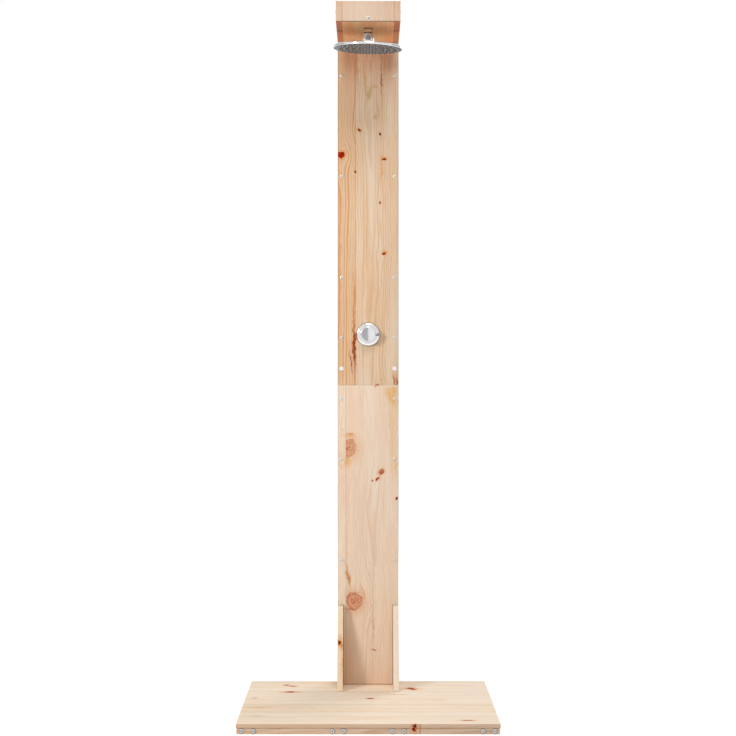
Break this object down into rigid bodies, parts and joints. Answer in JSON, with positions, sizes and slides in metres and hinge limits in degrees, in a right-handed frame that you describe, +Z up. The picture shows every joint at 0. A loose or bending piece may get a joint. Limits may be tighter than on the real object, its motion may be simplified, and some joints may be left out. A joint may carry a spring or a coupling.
{
  "type": "outdoor shower post",
  "caption": "Free-standing timber shower column on a low tray, with a cantilevered head box, ball-jointed round rain head and a lever valve.",
  "frame": {"origin": "on the ground under the middle of the tray", "axes": "+Z up, +X to the right of someone facing the shower, who looks along +Y"},
  "size_m": [0.79, 0.7, 2.245],
  "materials": {
    "deck_pine": "sawn and planed, oiled",
    "frame_pine": "planed",
    "upper_panel_pine": "planed",
    "lower_panel_pine": "planed",
    "fin_pine": "planed",
    "side_pine": "planed",
    "head_pine": "planed",
    "inner_pine": "rough sawn",
    "zinc_steel": "zinc plated",
    "white_plastic": "smooth",
    "brass": "turned",
    "steel_pipe": "drawn",
    "chrome": "polished",
    "liner_plastic": "smooth",
    "rubber": "matte",
    "face_plastic": "satin",
    "nozzle_rubber": "matte"
  },
  "bodies": {
    "post": {"arm_elbow": "brass", "back_rail_left": "frame_pine", "back_rail_right": "frame_pine", "ball_stub": "brass", "cheek_splices": "head_pine", "connector_caps": "white_plastic", "connector_screws": "zinc_steel", "cross_batten_1": "inner_pine", "cross_batten_2": "inner_pine", "cross_batten_3": "inner_pine", "deck_board_1": "deck_pine", "deck_board_2": "deck_pine", "deck_board_3": "deck_pine", "deck_board_4": "deck_pine", "deck_board_5": "deck_pine", "deck_screws": "zinc_steel", "drop_arm": "chrome", "fascia": "head_pine", "feed_pipe": "steel_pipe", "fin_left": "fin_pine", "fin_right": "fin_pine", "front_cheek_left": "head_pine", "front_cheek_right": "head_pine", "front_rail": "frame_pine", "head_back_board": "head_pine", "inlet_nipple": "brass", "joist_1": "frame_pine", "joist_2": "frame_pine", "joist_3": "frame_pine", "joist_4": "frame_pine", "lower_front_panel": "lower_panel_pine", "lower_side_rail_left": "side_pine", "lower_side_rail_right": "side_pine", "pipe_clips": "zinc_steel", "pipe_nuts": "brass", "rear_cheek_left": "head_pine", "rear_cheek_right": "head_pine", "riser_pipe": "steel_pipe", "roof_board": "head_pine", "soffit_board": "head_pine", "splice_block_left": "inner_pine", "splice_block_right": "inner_pine", "upper_front_panel": "upper_panel_pine", "upper_side_rail_left": "side_pine", "upper_side_rail_right": "side_pine", "valve_body": "brass", "valve_gland": "brass", "valve_nut": "brass", "valve_plate": "chrome", "valve_washer": "rubber", "wood_screws": "zinc_steel"},
    "knob": {"valve_knob": "chrome", "valve_plug": "brass"},
    "ball_ring": {"ball_ring": "liner_plastic"},
    "ball_cup": {"ball_cup": "liner_plastic"},
    "rain_head": {"dome_nut": "chrome", "head_shell": "chrome", "face_plate": "face_plastic", "nozzle_mat": "nozzle_rubber"}
  },
  "joints": [
    {"name": "valve_turn", "type": "hinge", "parent": "post", "child": "knob", "pos_m": [0, 0.327, 1.2046], "axis": [0, -1, 0], "range_deg": [0, 90]},
    {"name": "head_spin", "type": "hinge", "parent": "post", "child": "ball_ring", "pos_m": [0, 0.0483, 2.15], "axis": [0, 0, 1], "continuous": true},
    {"name": "head_tilt", "type": "hinge", "parent": "ball_ring", "child": "ball_cup", "pos_m": [0, 0.0483, 2.15], "axis": [1, 0, 0], "range_deg": [-17, 13]},
    {"name": "head_roll", "type": "hinge", "parent": "ball_cup", "child": "rain_head", "pos_m": [0, 0.0483, 2.15], "axis": [0, 0.9994, 0.0349], "range_deg": [-16.55, 13.45]}
  ]
}
